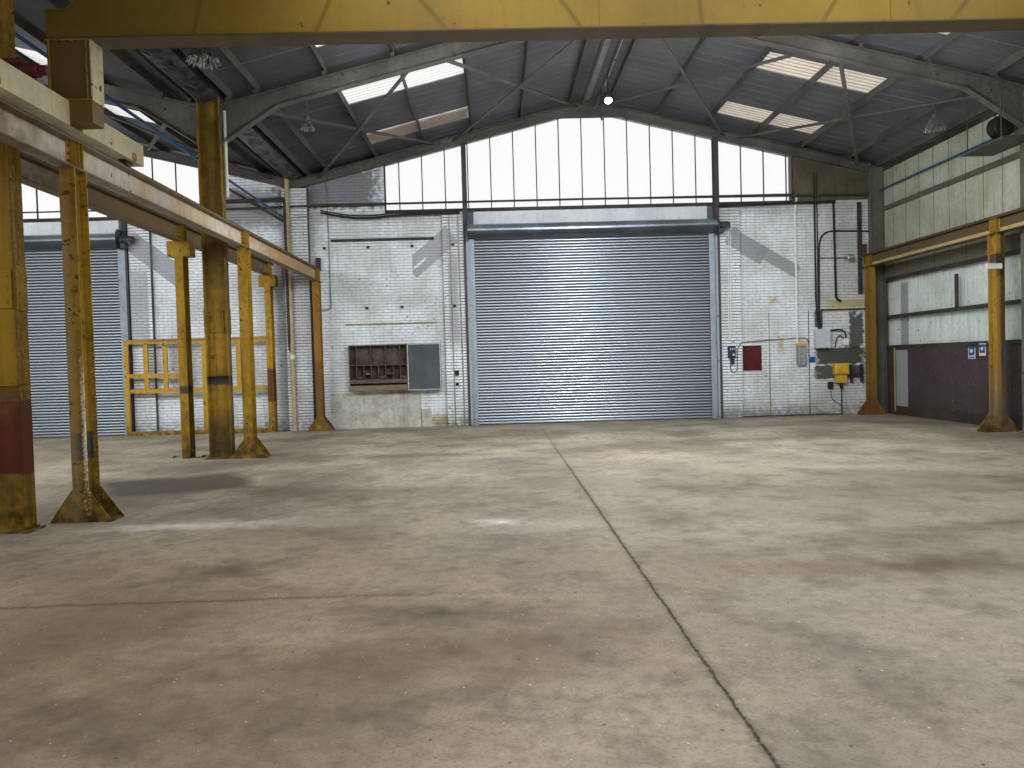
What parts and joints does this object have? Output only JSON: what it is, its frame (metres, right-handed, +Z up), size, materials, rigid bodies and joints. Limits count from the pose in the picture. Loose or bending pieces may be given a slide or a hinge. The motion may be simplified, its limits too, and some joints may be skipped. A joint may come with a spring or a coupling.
{
  "type": "two-nave factory building",
  "caption": "Single-storey factory shed: two pitched steel-framed naves, brick gables with glazed screens over roller shutter doors, crane runways and a travelling crane.",
  "frame": {"origin": "centre of the building's plan, at ground level", "axes": "+Y along the naves to the far gable, +X to the right of someone looking that way, +Z up"},
  "size_m": [31.22, 30.903, 8.6926],
  "materials": {
    "floor_concrete": "worn, dusty concrete",
    "painted_brick": "white painted brick, dirty",
    "grey_lintel": "grey painted",
    "grey_steel": "grey paint with dust and rust",
    "dark_steel": "dark paint with rust",
    "mustard_steel": "worn mustard paint",
    "runway_paint": "faded cream paint, rust at the flanges",
    "crane_yellow": "faded yellow paint",
    "crane_cream": "faded cream paint",
    "fence_yellow": "yellow paint",
    "window_glass": "clear, dusty",
    "translucent_sheet": "glass-fibre sheet, translucent",
    "galvanised_steel": "galvanised, matt",
    "side_sheeting": "coated profiled steel",
    "green_board": "pale green-grey board",
    "brown_board": "dark brown board",
    "roof_sheeting": "fibre cement, weathered",
    "grey_lagging": "dull grey",
    "white_pipe": "white",
    "rail_steel": "rusty steel, bright on top",
    "cabinet_grey": "grey enamel"
  },
  "bodies": {
    "building": {"crane_rails": "rail_steel", "door_lintels": "grey_lintel", "downpipes": "white_pipe", "far_gable_wall": "painted_brick", "floor_slab": "floor_concrete", "gable_glazing": "window_glass", "gable_posts": "grey_steel", "gable_sills": "dark_steel", "guard_fence": "fence_yellow", "gutters": "grey_lagging", "main_purlins": "grey_steel", "main_rafters_left": "grey_steel", "main_rafters_right": "grey_steel", "main_roof_left": "roof_sheeting", "main_roof_right": "roof_sheeting", "main_runway_posts": "mustard_steel", "near_gable_wall": "painted_brick", "ridge_cappings": "roof_sheeting", "roof_braces_lower": "grey_steel", "roof_braces_upper": "grey_steel", "rooflights": "translucent_sheet", "runway_beams": "runway_paint", "runway_end_stops": "dark_steel", "sheeting_rails": "dark_steel", "shutter_barrels": "galvanised_steel", "shutter_curtains": "galvanised_steel", "shutter_guides": "galvanised_steel", "side_purlins": "grey_steel", "side_rafters_left": "grey_steel", "side_rafters_right": "grey_steel", "side_roof_left": "roof_sheeting", "side_roof_right": "roof_sheeting", "side_runway_posts": "mustard_steel", "upper_linings": "green_board", "valley_stanchions": "mustard_steel", "verge_boards": "side_sheeting", "wall_boxes": "cabinet_grey", "wall_cladding": "side_sheeting", "wall_columns": "mustard_steel", "wall_dados": "brown_board", "wall_kerbs": "floor_concrete", "wall_rack": "brown_board"},
    "crane_bridge": {"crane_girder": "crane_yellow", "crane_end_carriages": "crane_cream", "crane_wheels": "rail_steel"}
  },
  "joints": [
    {"name": "crane_travel", "type": "slide", "parent": "building", "child": "crane_bridge", "axis": [0, 1, 0], "range_m": [-15.31, 9.97]}
  ]
}
